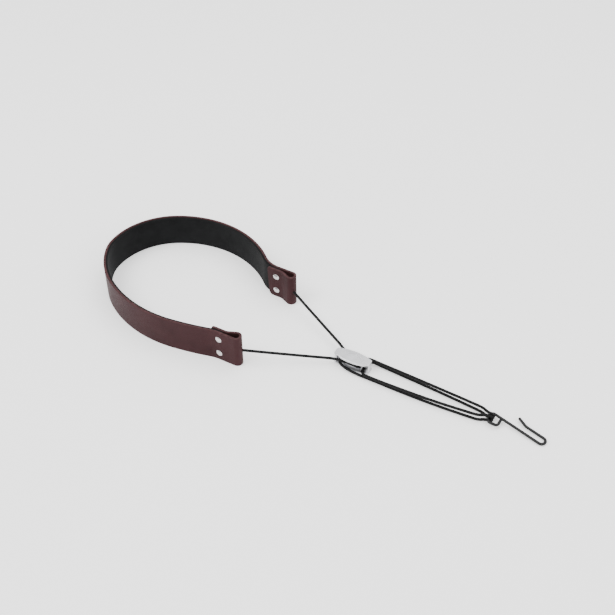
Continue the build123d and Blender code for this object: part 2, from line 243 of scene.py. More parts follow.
def remap(tree, value, low, high, to_low, to_high):
    """A Map Range node from low..high to to_low..to_high, clamped."""
    node = new_node(tree, "ShaderNodeMapRange", {"From Min": low, "From Max": high,
                                                 "To Min": to_low, "To Max": to_high})
    feed(value, node.inputs["Value"])
    return node.outputs["Result"]


def noise(tree, vector, scale, detail, roughness=0.5):
    """A Noise Texture; scale is a socket or a number. Gives its outputs."""
    node = new_node(tree, "ShaderNodeTexNoise", {"Detail": detail, "Roughness": roughness})
    feed(vector, node.inputs["Vector"])
    feed(scale, node.inputs["Scale"])
    return node.outputs


def mix_colours(tree, factor, first, second):
    """A colour mix; factor is a socket, first and second are sockets or colours."""
    node = new_node(tree, "ShaderNodeMix", data_type="RGBA")
    feed(factor, node.inputs["Factor"])
    for name, value in (("A", first), ("B", second)):
        socket = next(s for s in node.inputs if s.name == name and s.type == "RGBA")
        feed(value if isinstance(value, bpy.types.NodeSocket) else (*value, 1.0), socket)
    return next(s for s in node.outputs if s.type == "RGBA")


def new_group(name, vector, outputs, scale=None):
    """An empty shader node group: one vector input, a Scale if it has one, and number outputs.

    Gives the group, its inputs and its outputs.
    """
    group = bpy.data.node_groups.new(name, "ShaderNodeTree")
    group.interface.new_socket(vector, in_out="INPUT", socket_type="NodeSocketVector")
    if scale is not None:
        socket = group.interface.new_socket("Scale", in_out="INPUT", socket_type="NodeSocketFloat")
        socket.default_value = scale
    for label in outputs:
        group.interface.new_socket(label, in_out="OUTPUT", socket_type="NodeSocketFloat")
    entry = group.nodes.new("NodeGroupInput")
    leave = group.nodes.new("NodeGroupOutput")
    return group, entry.outputs, leave.inputs


def mottle_group():
    """Two sizes of soft noise round 0.5: Tone wanders slowly, and Fine is its small partner."""
    group, given, result = new_group("soft_mottle", "Vector", ("Tone", "Fine"), 30.0)
    where, scale = given["Vector"], given["Scale"]
    large = noise(group, where, scale, 4.0, 0.6)
    small = noise(group, where, math_node(group, "MULTIPLY", scale, 12.0), 3.0, 0.7)
    feed(large["Fac"], result["Tone"])
    feed(small["Fac"], result["Fine"])
    return group


def grain_group():
    """Leather grain: pebbles from the distance to a cell's edge, pores, and fine creases that mask
    painted shade.
    """
    group, given, result = new_group("pebbled_grain", "Vector", ("Height", "CreaseShade"), 1400.0)
    where, scale = given["Vector"], given["Scale"]
    warp = noise(group, where, math_node(group, "MULTIPLY", scale, 0.6), 2.0)
    bend = new_node(group, "ShaderNodeVectorMath", operation="SCALE")
    feed(warp["Color"], bend.inputs[0])
    feed(math_node(group, "DIVIDE", 0.9, scale), bend.inputs["Scale"])
    moved = new_node(group, "ShaderNodeVectorMath", operation="ADD")
    feed(where, moved.inputs[0])
    feed(bend.outputs["Vector"], moved.inputs[1])
    cells = new_node(group, "ShaderNodeTexVoronoi", feature="DISTANCE_TO_EDGE")
    feed(moved.outputs["Vector"], cells.inputs["Vector"])
    feed(scale, cells.inputs["Scale"])
    pebble = remap(group, cells.outputs["Distance"], 0.0, 0.28, 0.0, 1.0)
    pores = noise(group, where, math_node(group, "MULTIPLY", scale, 2.5), 2.0)
    rough = math_node(group, "MULTIPLY", pores["Fac"], 0.35)
    feed(math_node(group, "ADD", pebble, rough), result["Height"])
    # the depth between the pebbles, the mask of the leather's painted shade
    feed(math_node(group, "SUBTRACT", 1.0, pebble, clamp=True), result["CreaseShade"])
    return group


def brushed_group():
    """Brushed metal: noise drawn out along X into fine lines, and a slow wander for smears."""
    group, given, result = new_group("brushed_lines", "Vector", ("Lines", "Smear"), 1500.0)
    stretch = new_node(group, "ShaderNodeMapping", {"Scale": (0.03, 1.0, 1.0)})
    feed(given["Vector"], stretch.inputs["Vector"])
    lines = noise(group, stretch.outputs["Vector"], given["Scale"], 3.0, 0.65)
    smear = noise(group, given["Vector"], 120.0, 3.0)
    feed(lines["Fac"], result["Lines"])
    feed(smear["Fac"], result["Smear"])
    return group


def braid_group():
    """A round braid on a UV map in crossings: Height of the yarn on top, the depth between the
    yarns as the mask for painted shade, and Fibre, the fine threads that run along each yarn.

    Two families of yarns run along p = u + v and q = u - v.  In every other cell the first
    family is on top.  A yarn's height is the sine of the place across it, lowered at its ends.
    """
    group, given, result = new_group("round_braid", "UV", ("Height", "GapShade", "Fibre"))
    parts = new_node(group, "ShaderNodeSeparateXYZ")
    feed(given["UV"], parts.inputs[0])
    p = math_node(group, "ADD", parts.outputs["X"], parts.outputs["Y"])
    q = math_node(group, "SUBTRACT", parts.outputs["X"], parts.outputs["Y"])
    cell = math_node(group, "ADD", math_node(group, "FLOOR", p), math_node(group, "FLOOR", q))
    half = math_node(group, "MULTIPLY", cell, 0.5)
    first_on_top = math_node(group, "GREATER_THAN", math_node(group, "FRACT", half), 0.25)
    turns = [math_node(group, "MULTIPLY", math_node(group, "FRACT", place), math.pi)
             for place in (p, q)]
    hump_p, hump_q = [math_node(group, "SINE", turn) for turn in turns]
    across, along, thread = [new_node(group, "ShaderNodeMix", data_type="FLOAT") for _ in range(3)]
    for mixer, a, b in ((across, hump_q, hump_p), (along, hump_p, hump_q), (thread, q, p)):
        feed(first_on_top, mixer.inputs["Factor"])
        feed(a, mixer.inputs[2])
        feed(b, mixer.inputs[3])
    crown = math_node(group, "POWER", across.outputs[0], CROWN_POWER)
    dip = math_node(group, "MULTIPLY_ADD", along.outputs[0], YARN_DIP)
    dip.node.inputs[2].default_value = 1 - YARN_DIP
    fibre = math_node(group, "SINE", math_node(group, "MULTIPLY", thread.outputs[0], 8 * math.pi))
    feed(math_node(group, "MULTIPLY", crown, dip), result["Height"])
    # the depth between the yarns, the mask of the cord's painted shade
    feed(math_node(group, "SUBTRACT", 1.0, crown, clamp=True), result["GapShade"])
    feed(math_node(group, "MULTIPLY", fibre, crown), result["Fibre"])
    return group


def effect(tree, name, vector, **values):
    """One of the shared node groups, built on first use, placed in a material."""
    builders = {"soft_mottle": mottle_group, "pebbled_grain": grain_group,
                "brushed_lines": brushed_group, "round_braid": braid_group}
    group = bpy.data.node_groups.get(name) or builders[name]()
    node = new_node(tree, "ShaderNodeGroup", values, node_tree=group)
    feed(vector, node.inputs[0])
    return node.outputs


def new_material(name, **sockets):
    """A material with constants on its Principled sockets; gives it, its tree and its shader."""
    material = bpy.data.materials.new(name)
    material.use_nodes = True
    tree = material.node_tree
    shader = tree.nodes["Principled BSDF"]
    for label, value in sockets.items():
        shader.inputs[label.replace("_", " ")].default_value = value
    return material, tree, shader


def object_coordinates(tree):
    return new_node(tree, "ShaderNodeTexCoord").outputs["Object"]


def own_uv(tree, name):
    return new_node(tree, "ShaderNodeUVMap", uv_map=name).outputs["UV"]


def bump(tree, shader, height, distance, strength=1.0, normal=None):
    """A Bump node of that height in metres, linked to the shader; gives its normal."""
    node = new_node(tree, "ShaderNodeBump", {"Distance": distance, "Strength": strength})
    feed(height, node.inputs["Height"])
    if normal is not None:
        feed(normal, node.inputs["Normal"])
    feed(node.outputs["Normal"], shader.inputs["Normal"])
    return node.outputs["Normal"]


def times(colour, share):
    """A colour made darker or lighter by one factor."""
    return tuple(c * share for c in colour)


def shades(tree, tone, colour, low, high):
    """A colour that goes from low to high times its strength with the tone."""
    return mix_colours(tree, tone, times(colour, low), times(colour, high))


# ---- materials
def grain_leather(colour):
    """Smooth dyed leather: fine pebbles, slow changes of tone, and painted shade in its creases."""
    material, tree, shader = new_material("grain_leather", Specular_IOR_Level=0.06)
    where = object_coordinates(tree)
    grain = effect(tree, "pebbled_grain", where, Scale=1500.0)
    mottle = effect(tree, "soft_mottle", where, Scale=45.0)
    body = shades(tree, remap(tree, mottle["Tone"], *NOISE_SPAN, 0.0, 1.0), colour, 0.80, 1.18)
    # painted shade: the grain's creases are darkened towards 0.45 of the leather's colour
    crease_shaded = mix_colours(tree, math_node(tree, "MULTIPLY", grain["CreaseShade"], 0.5), body,
                          times(colour, 0.45))
    feed(crease_shaded, shader.inputs["Base Color"])
    feed(remap(tree, mottle["Fine"], *NOISE_SPAN, 0.42, 0.6), shader.inputs["Roughness"])
    soft = bump(tree, shader, mottle["Tone"], 0.5 * MM, 0.5)
    bump(tree, shader, grain["Height"], 0.05 * MM, 0.7, soft)
    return material


def flesh_leather(colour):
    """The back of the leather: matt, with short brushed fibres."""
    material, tree, shader = new_material("flesh_leather", Roughness=0.9, Specular_IOR_Level=0.2)
    mottle = effect(tree, "soft_mottle", object_coordinates(tree), Scale=160.0)
    feed(shades(tree, mottle["Tone"], colour, 0.6, 1.5), shader.inputs["Base Color"])
    bump(tree, shader, mottle["Fine"], 0.12 * MM, 0.8)
    return material


def edge_leather(colour):
    """A cut edge, rubbed smooth, with darker spots of dye."""
    material, tree, shader = new_material("cut_edge_leather", Specular_IOR_Level=0.06)
    mottle = effect(tree, "soft_mottle", object_coordinates(tree), Scale=260.0)
    spots = remap(tree, mottle["Tone"], 0.35, 0.65, 0.0, 1.0)
    feed(shades(tree, spots, colour, 0.62, 1.2), shader.inputs["Base Color"])
    feed(remap(tree, mottle["Fine"], *NOISE_SPAN, 0.45, 0.7), shader.inputs["Roughness"])
    bump(tree, shader, mottle["Fine"], 0.08 * MM, 0.6)
    return material


def suede(colour):
    """Short-napped suede: very matt, with brushed patches and a soft sheen at grazing angles."""
    material, tree, shader = new_material("black_suede", Roughness=0.95, Specular_IOR_Level=0.1,
                                          Sheen_Weight=0.03, Sheen_Roughness=0.5)
    where = object_coordinates(tree)
    patches = effect(tree, "soft_mottle", where, Scale=70.0)
    nap = effect(tree, "soft_mottle", where, Scale=420.0)
    brushed = shades(tree, remap(tree, patches["Tone"], *NOISE_SPAN, 0.0, 1.0), colour, 0.7, 1.5)
    speckled = mix_colours(tree, remap(tree, nap["Fine"], 0.45, 0.75, 0.0, 0.6), brushed,
                           times(colour, 2.4))
    feed(speckled, shader.inputs["Base Color"])
    bump(tree, shader, nap["Fine"], 0.12 * MM, 0.9)
    return material


def braided_cord(colour):
    """Braided polyester: yarns with fine threads, painted shade in the gaps between them, a low silky
    shine.
    """
    material, tree, shader = new_material("braided_cord", Specular_IOR_Level=0.12,
                                          Sheen_Weight=0.0, Sheen_Roughness=0.4)
    braid = effect(tree, "round_braid", own_uv(tree, "braid"))
    mottle = effect(tree, "soft_mottle", object_coordinates(tree), Scale=90.0)
    lit = shades(tree, remap(tree, mottle["Fine"], *NOISE_SPAN, 0.0, 1.0), colour, 0.8, 1.5)
    # painted shade: the gaps between the yarns are darkened towards a quarter of the cord's colour
    gap_shade = math_node(tree, "POWER", braid["GapShade"], 1.5)
    feed(mix_colours(tree, gap_shade, lit, times(colour, 0.25)), shader.inputs["Base Color"])
    feed(remap(tree, braid["Height"], 0.0, 1.0, 0.75, 0.42), shader.inputs["Roughness"])
    yarn = bump(tree, shader, braid["Height"], 0.12 * MM, 0.8)
    bump(tree, shader, braid["Fibre"], 0.02 * MM, 0.6, yarn)
    return material


def satin_metal(name, colour, low, high, lines=1500.0, relief=0.004):
    """Bare metal with fine brushed lines and faint smears; low and high bound its roughness."""
    material, tree, shader = new_material(name, Metallic=1.0)
    brushed = effect(tree, "brushed_lines", object_coordinates(tree), Scale=lines)
    tone = remap(tree, brushed["Lines"], *NOISE_SPAN, 0.0, 1.0)
    feed(shades(tree, tone, colour, 0.9, 1.08), shader.inputs["Base Color"])
    smear = math_node(tree, "MULTIPLY", brushed["Smear"], 0.5)
    worn = math_node(tree, "ADD", smear, math_node(tree, "MULTIPLY", brushed["Lines"], 0.5))
    feed(remap(tree, worn, *NOISE_SPAN, low, high), shader.inputs["Roughness"])
    bump(tree, shader, brushed["Lines"], relief * MM, 0.5)
    return material


def hook_enamel(colour):
    """Black coating on steel wire: half gloss, with slight orange peel and small scuffs."""
    material, tree, shader = new_material("hook_enamel", Specular_IOR_Level=0.25, Coat_Weight=0.0,
                                          Coat_Roughness=0.25)
    mottle = effect(tree, "soft_mottle", object_coordinates(tree), Scale=220.0)
    scuffs = remap(tree, mottle["Fine"], 0.62, 0.75, 0.0, 0.5)
    feed(shades(tree, scuffs, colour, 1.0, 3.5), shader.inputs["Base Color"])
    feed(remap(tree, mottle["Tone"], *NOISE_SPAN, 0.3, 0.5), shader.inputs["Roughness"])
    bump(tree, shader, mottle["Tone"], 0.06 * MM, 0.4)
    return material


# ---- surfaces
def mesh_from_grid(name, points, uv=None, uv_name="surface", closed=False, flip=False):
    """An object from a grid of points (rows x columns x 3).

    Each quad joins four neighbours of the grid.  A closed grid also joins its last column to
    its first, and fills its first and last rows, so that it is a capped tube.
    """
    rows, columns = points.shape[:2]
    index = np.arange(rows * columns).reshape(rows, columns)
    if closed:
        index = np.concatenate([index, index[:, :1]], axis=1)
    quads = np.stack([index[:-1, :-1], index[1:, :-1], index[1:, 1:], index[:-1, 1:]], axis=-1)
    if flip:
        quads = quads[..., ::-1]
    faces = quads.reshape(-1, 4)
    mesh = bpy.data.meshes.new(name)
    caps = [index[0, :-1].tolist(), index[-1, :-1][::-1].tolist()] if closed else []
    if closed and flip:
        caps = [cap[::-1] for cap in caps]
    mesh.from_pydata(points.reshape(-1, 3), [], faces.tolist() + caps)
    if uv is not None:
        corners = np.stack([uv[:-1, :-1], uv[1:, :-1], uv[1:, 1:], uv[:-1, 1:]], axis=2)
        if flip:
            corners = corners[:, :, ::-1]
        flat = corners.reshape(-1, 2)
        spare = np.zeros((len(mesh.loops) - len(flat), 2))
        layer = mesh.uv_layers.new(name=uv_name)
        layer.data.foreach_set("uv", np.concatenate([flat, spare]).ravel())
    mesh.polygons.foreach_set("use_smooth", np.ones(len(mesh.polygons), bool))
    mesh.update()
    piece = bpy.data.objects.new(name, mesh)
    bpy.context.scene.collection.objects.link(piece)
    return piece


def carry_round_profile(line, guide, radius):
    """Points of a tube: circles carried along a line, with a radius for each station and side.

    The section's first axis is the guide made square to the line, and its second axis is the
    tangent crossed with the first.
    """
    tangent = np.gradient(line, axis=0)
    tangent /= np.linalg.norm(tangent, axis=1, keepdims=True)
    first = guide - np.sum(guide * tangent, axis=1, keepdims=True) * tangent
    first /= np.linalg.norm(first, axis=1, keepdims=True)
    second = np.cross(tangent, first)
    angle = np.linspace(0, 2 * math.pi, radius.shape[1], endpoint=False)[:, None]
    ring = np.cos(angle) * first[:, None] + np.sin(angle) * second[:, None]
    return line[:, None] + radius[..., None] * ring


def arc_lengths(line):
    steps = np.linalg.norm(np.diff(line, axis=0), axis=1)
    return np.concatenate([[0.0], np.cumsum(steps)])


def resampled(line, step):
    """The same line with evenly spaced points."""
    lengths = arc_lengths(line)
    count = max(3, int(round(lengths[-1] / step)) + 1)
    wanted = np.linspace(0, lengths[-1], count)
    return np.stack([np.interp(wanted, lengths, line[:, axis]) for axis in range(3)], axis=1)


# ---- the leather band
def fold_steps():
    """The folded end from the flap's free end to the round end: (length, turn) of each stretch."""
    settings = bpy.context.scene.band_settings
    gap = settings.leather + settings.lining + 3 * GLUE
    rise = 2 * LOOP_R - gap - (LOOP_R + FOLD_BEND_R) * (1 - math.cos(LOOP_LEAN))
    curl_radius, curl = FLAP_CURL
    return [(curl_radius * abs(curl), curl), (FLAP_RUN, 0.0), (FOLD_BEND_R * LOOP_LEAN, LOOP_LEAN),
            (rise / math.sin(LOOP_LEAN), 0.0),
            (LOOP_R * (math.pi + LOOP_LEAN), -math.pi - LOOP_LEAN)]


def walk_steps(steps, heading, step=0.05 * MM):
    """A path in plan from (length, turn) stretches: stations, points and headings.

    The heading changes evenly along each stretch, and a point is the running sum of the
    heading's direction times the step.
    """
    lengths = np.concatenate([[0.0], np.cumsum([length for length, _ in steps])])
    headings = heading + np.concatenate([[0.0], np.cumsum([turn for _, turn in steps])])
    station = np.arange(0.0, lengths[-1] + step, step)
    direction = np.interp(station, lengths, headings)
    middle = (direction[1:] + direction[:-1]) / 2
    x = np.concatenate([[0.0], np.cumsum(np.cos(middle) * np.diff(station))])
    y = np.concatenate([[0.0], np.cumsum(np.sin(middle) * np.diff(station))])
    return station, np.stack([x, y], axis=1), direction


def band_path():
    """The middle of the leather from the near flap's end to the far flap's, in the strap's frame.

    Gives stations, points, headings, and the stations where the two folds end.
    """
    fold = fold_steps()
    arcs = [(radius * MM * math.radians(abs(turn)), math.radians(turn))
            for radius, turn in [NEAR_SWEEP, *BAND_ARCS, FAR_SWEEP]]
    before = fold + [(NEAR_RUN, 0.0)] + arcs
    start = -FLAP_CURL[1]
    station, points, _ = walk_steps(fold, start)
    offset = np.array([LOOP_X, -TAB_Y]) - points[-1]
    reached = walk_steps(before, start)[1][-1] + offset
    steps = before + [(LOOP_X - reached[0], 0.0)] + fold[::-1]
    near_fold_end = sum(length for length, _ in fold)
    far_fold_start = sum(length for length, _ in steps) - near_fold_end
    station, points, heading = walk_steps(steps, start)
    return station, points + offset, heading, near_fold_end, far_fold_start


def along_path(path, stations, offset):
    """X and Y of points at the given stations, moved to the path's left by offset."""
    station, points, heading = path[:3]
    x = np.interp(stations, station, points[:, 0])
    y = np.interp(stations, station, points[:, 1])
    turn = np.interp(stations, station, heading)
    return x - np.sin(turn) * offset, y + np.cos(turn) * offset


def flap_edge_x(height):
    """X of a flap's raked free edge at each height, with its two round corners.

    A corner of radius r adds r minus the root of r squared less the distance to the corner's
    centre squared.
    """
    low_x, high_x = FLAP_EDGE_X
    edge = low_x + (high_x - low_x) * height / BAND_HEIGHT
    low_r, high_r = FLAP_CORNER_R
    below = np.clip(low_r - height, 0.0, low_r)
    above = np.clip(high_r - (BAND_HEIGHT - height), 0.0, high_r)
    return (edge + (low_r - np.sqrt(low_r ** 2 - below ** 2))
            + (high_r - np.sqrt(high_r ** 2 - above ** 2)))


def crowded_heights(low, high, rows):
    """Heights from low to high, closer together towards both edges: half a cosine wave."""
    share = (1 - np.cos(np.linspace(0, math.pi, rows))) / 2
    return low + (high - low) * share


def rivet_swell(path, stations, heights, amount):
    """How far the leather stands out round the rivets: a soft ring round each rivet's place."""
    station, points = path[0], path[1]
    x = points[:, 0]
    near_end, far_start = path[3], path[4]
    swell = np.zeros(np.broadcast(stations, heights).shape)
    total = station[-1]
    windows = [(0.0, near_end * 0.6), (near_end, near_end + 30 * MM),
               (far_start - 30 * MM, far_start), (total - near_end * 0.6, total)]
    for low, high in windows:
        inside = (station >= low) & (station <= high)
        place = station[inside][np.argmin(np.abs(x[inside] - RIVET_X))]
        for height in RIVET_HEIGHTS:
            away = np.hypot(stations - place, heights - height)
            swell += amount * np.exp(-((away - SWELL_RING_R) / SWELL_WIDTH) ** 2)
    return swell


def leather_surface(settings):
    """The middle surface of the leather: path stations across, heights up.

    Near its two free ends each row starts where the flap's edge lies at that height, and the
    shift fades out over the next stretch.
    """
    path = band_path()
    station, points = path[0], path[1]
    total = station[-1]
    half = FLAP_RUN + abs(FLAP_CURL[0] * FLAP_CURL[1])
    heights = crowded_heights(0.0, BAND_HEIGHT, settings.rows)
    edge_x = flap_edge_x(heights)
    flap = station <= half
    near_edge = np.interp(edge_x, points[flap, 0], station[flap])
    flap = station >= total - half
    far_edge = np.interp(edge_x, points[flap, 0][::-1], station[flap][::-1])
    count = int((total - 2 * near_edge.min()) / settings.step)
    columns = np.linspace(near_edge.min(), far_edge.max(), count)
    from_near = np.clip(1 - (columns - columns[0]) / FLAP_FADE, 0, 1)[:, None]
    from_far = np.clip(1 - (columns[-1] - columns) / FLAP_FADE, 0, 1)[:, None]
    stations = (columns[:, None] + from_near * (near_edge - columns[0])[None]
                + from_far * (far_edge - columns[-1])[None])
    heights = np.broadcast_to(heights, stations.shape)
    x, y = along_path(path, stations, rivet_swell(path, stations, heights, settings.pinch))
    surface = np.stack([x + STRAP_X, y + STRAP_Y, heights], axis=-1)
    return surface, np.stack([stations, heights], axis=-1)


def lining_surface(settings):
    """The middle surface of the lining, just inside the leather, from rivets to rivets."""
    path = band_path()
    station, points, _, near_end, far_start = path
    near = (station > near_end) & (station < near_end + 40 * MM)
    far = (station < far_start) & (station > far_start - 40 * MM)
    start = station[near][np.argmin(np.abs(points[near, 0] - LINING_END_X))]
    end = station[far][np.argmin(np.abs(points[far, 0] - LINING_END_X))]
    columns = np.linspace(start, end, int((end - start) / settings.step))
    heights = crowded_heights(LINING_INSET, BAND_HEIGHT - LINING_INSET, settings.rows)
    stations, heights = np.meshgrid(columns, heights, indexing="ij")
    offset = -(settings.leather + settings.lining) / 2 - GLUE
    x, y = along_path(path, stations, offset)
    surface = np.stack([x + STRAP_X, y + STRAP_Y, heights], axis=-1)
    return surface, np.stack([stations, heights], axis=-1)


def give_thickness(piece, thickness, edge_radius, materials):
    """Solidify about the middle surface, then round the cut edges; the materials are the face's,
    the back's and the edges'."""
    for material in materials:
        piece.data.materials.append(material)
    solid = piece.modifiers.new("thickness", "SOLIDIFY")
    solid.thickness = thickness
    solid.offset = 0.0
    solid.use_even_offset = True
    solid.material_offset = 1
    solid.material_offset_rim = 2
    rounded = piece.modifiers.new("round_edges", "BEVEL")
    rounded.width = edge_radius
    rounded.segments = 3
    rounded.limit_method = "ANGLE"
    rounded.angle_limit = math.radians(50)


class STRAP_OT_leather_band(bpy.types.Operator):
    """Makes the folded leather band, with its raked flaps and rounded edges."""
    bl_idname = "strap.leather_band"
    bl_label = "Leather band"

    def execute(self, context):
        settings = context.scene.band_settings
        surface, uv = leather_surface(settings)
        band = mesh_from_grid("folded_leather_band", surface, uv, flip=True)
        give_thickness(band, settings.leather, LEATHER_EDGE_R,
                       [grain_leather(settings.grain_side), flesh_leather(settings.flesh_side),
                        edge_leather(settings.cut_edge)])
        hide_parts("leather_band")
        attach(band, "band")
        return {"FINISHED"}


class STRAP_OT_suede_lining(bpy.types.Operator):
    """Makes the suede lining on the inside of the band."""
    bl_idname = "strap.suede_lining"
    bl_label = "Suede lining"

    def execute(self, context):
        settings = context.scene.band_settings
        surface, uv = lining_surface(settings)
        lining = mesh_from_grid("suede_band_lining", surface, uv, flip=True)
        nap = suede(settings.suede)
        give_thickness(lining, settings.lining, LINING_EDGE_R, [nap, nap, nap])
        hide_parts("suede_lining")
        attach(lining, "band")
        return {"FINISHED"}


# ---- the cord
def spline_line(route):
    """Points along the NURBS spline that has the route's points as its control points."""
    curve = bpy.data.curves.new("route", "CURVE")
    curve.dimensions = "3D"
    curve.resolution_u = 24
    spline = curve.splines.new("NURBS")
    spline.points.add(len(route) - 1)
    weighted = np.concatenate([route, np.ones((len(route), 1))], axis=1)
    spline.points.foreach_set("co", weighted.ravel())
    spline.order_u = 3
    spline.use_endpoint_u = True
    holder = bpy.data.objects.new("route", curve)
    bpy.context.scene.collection.objects.link(holder)
    bpy.context.view_layer.update()
    mesh = bpy.data.meshes.new_from_object(holder)
    line = np.zeros(len(mesh.vertices) * 3)
    mesh.vertices.foreach_get("co", line)
    bpy.data.objects.remove(holder)
    bpy.data.curves.remove(curve)
    bpy.data.meshes.remove(mesh)
    return line.reshape(-1, 3)


def braid_relief(along, around, yarns, pitch):
    """Height of a round braid, from 0 to 1, at a place along the cord and an angle round it.

    Two families of yarns run along p and q, the sum and the difference of the place along in
    crossings and the place round in yarns.  In every other cell the first family is on top,
    and a yarn's height is the sine of the place across it, lowered at its ends.
    """
    u = along / pitch
    v = around / (2 * math.pi) * yarns
    p, q = u + v, u - v
    first_on_top = (np.floor(p) + np.floor(q)) % 2 > 0.5
    hump_p, hump_q = np.sin(np.mod(p, 1) * math.pi), np.sin(np.mod(q, 1) * math.pi)
    across = np.where(first_on_top, hump_p, hump_q)
    lengthwise = np.where(first_on_top, hump_q, hump_p)
    return across ** CROWN_POWER * (1 - YARN_DIP + YARN_DIP * lengthwise)


def braided_tube(name, line, settings, guide=None, radius=None):
    """A braided tube along a line: yarns in relief on its surface, and a UV map in crossings."""
    line = resampled(line, settings.step)
    along = arc_lengths(line)
    radius = radius or settings.diameter / 2
    angle = np.linspace(0, 2 * math.pi, settings.sides + 1)
    relief = braid_relief(along[:, None], angle[None, :-1], settings.yarns, settings.pitch)
    swollen = radius - settings.relief * (1 - relief)
    upright = np.broadcast_to([0.0, 0.0, 1.0], line.shape)
    points = carry_round_profile(line, guide(line) if guide else upright, swollen)
    u = np.broadcast_to(along[:, None] / settings.pitch, (len(line), settings.sides + 1))
    v = np.broadcast_to(angle[None] / (2 * math.pi) * settings.yarns, u.shape)
    tube = mesh_from_grid(name, points, np.stack([u, v], axis=-1), "braid", closed=True, flip=True)
    material = bpy.data.materials.get("braided_cord") or braided_cord(settings.colour)
    tube.data.materials.append(material)
    return tube, line


def strand_guide(line):
    """Upright in the adjuster, turning evenly along the strands until it is level at the eye."""
    start, end = placed([(x, 0, 0) for x in GUIDE_TURN_X])[:, 0]
    share = np.clip((line[:, 0] - start) / (end - start), 0, 1)
    turn = share * share * (3 - 2 * share) * math.pi / 2
    return np.stack([np.zeros_like(turn), np.sin(turn), np.cos(turn)], axis=1)


def stay_straight(piece):
    """Bakes a cord's placement into its mesh and reads its points; it moves none of them."""
    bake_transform(piece)
    co = np.zeros(len(piece.data.vertices) * 3)
    piece.data.vertices.foreach_get("co", co)


def fold_middle(side):
    """The middle of the hole in a folded end, at the cord's height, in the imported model's frame."""
    return np.array([LOOP_X + STRAP_X, side * (TAB_Y - LOOP_R) + STRAP_Y, CORD_HOLE_Z])


class STRAP_OT_cord(bpy.types.Operator):
    """Makes the braided cord: two taut upper stretches, and the rest round the eye."""
    bl_idname = "strap.cord"
    bl_label = "Braided cord"

    def execute(self, context):
        settings = context.scene.cord_settings
        main, line = braided_tube("cord_through_adjuster_and_eye", spline_line(placed(MAIN_ROUTE)),
                                  settings, strand_guide)
        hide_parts("near_pass_in_adjuster", "middle_pass_in_adjuster", "far_pass_in_adjuster",
                    "far_top_strand", "far_bottom_strand", "near_top_strand", "near_bottom_strand",
                    "far_bight", "near_bight")
        stay_straight(main)
        for name, side, route_end in (("near", -1, NEAR_PASS[0]), ("far", 1, FAR_PASS[-1])):
            self.upper(name, side, placed(route_end), settings)
        return {"FINISHED"}

    def upper(self, name, side, end, settings):
        """One upper stretch, from the knot in its fold to the adjuster, with a hair of sag."""
        knot = fold_middle(side)
        away = (end - knot) / np.linalg.norm(end - knot)
        start = knot + away * UPPER_START
        middle = (start + end) / 2 - np.array([0.0, 0.0, UPPER_SAG])
        upper, line = braided_tube(name + "_cord_to_band",
                                   spline_line(np.array([start, middle, end])), settings)
        turns = self.knot(name, knot, settings)
        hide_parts(name + "_upper_cord")
        stay_straight(upper)

    def knot(self, name, middle, settings):
        """The stopper knot: the cord wound round itself, a helix with its ends tucked inwards."""
        share = np.linspace(0, 1, 400)
        turn = share * KNOT_TURNS * 2 * math.pi
        tuck = 1 - 0.55 * np.abs(2 * share - 1) ** 6
        reach = KNOT_REACH * tuck
        line = np.stack([middle[0] + reach * np.cos(turn), middle[1] + reach * np.sin(turn),
                         middle[2] + (share - 0.5) * KNOT_HEIGHT], axis=1)
        turns, _ = braided_tube(name + "_knot_turns", line, settings, radius=KNOT_CORD_R)
        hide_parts(name + "_stopper_knot")
        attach(turns, "band")
        return turns


# ---- the hook
def rounded_polyline(points, radii, step):
    """A line through straight runs joined by tangent arcs, in the plane, with dense points.

    At each corner the arc starts and ends where a circle of the given radius touches the two
    runs, at radius times the tangent of half the turn from the corner.
    """
    points = np.asarray(points, float)
    pieces = [points[:1]]
    for before, corner, after, radius in zip(points, points[1:], points[2:], radii):
        inward = (corner - before) / np.linalg.norm(corner - before)
        outward = (after - corner) / np.linalg.norm(after - corner)
        cross = inward[0] * outward[1] - inward[1] * outward[0]
        turn = math.atan2(cross, inward @ outward)
        reach = radius * math.tan(abs(turn) / 2)
        left = np.array([-inward[1], inward[0]]) * math.copysign(1, turn)
        centre = corner - inward * reach + left * radius
        angles = np.linspace(0, turn, max(3, int(abs(turn) * radius / step)))[:, None]
        spoke = -left * radius
        square = np.array([-spoke[1], spoke[0]])
        pieces.append(centre + spoke * np.cos(angles) + square * np.sin(angles))
    pieces.append(points[-1:])
    return np.concatenate(pieces)


def hook_points():
    """The middle of the hook's wire: eye, shank, bend, return and flared tip."""
    along = np.array([math.cos(SHANK_LEAN), math.sin(SHANK_LEAN)])
    across = np.array([-along[1], along[0]])
    bend_a = np.array(EYE[-1]) + along * SHANK
    bend_b = bend_a + across * HOOK_WIDTH
    back = bend_b - along * HOOK_RETURN
    tip = back + np.array(TIP_FLARE)
    flat = rounded_polyline([*EYE, bend_a, bend_b, back, tip], HOOK_RADII, 0.4)
    tilted = np.stack([flat[:, 0] * math.cos(HOOK_TILT), flat[:, 1],
                       -flat[:, 0] * math.sin(HOOK_TILT)], axis=1)
    return placed(tilted + np.array(BAR))


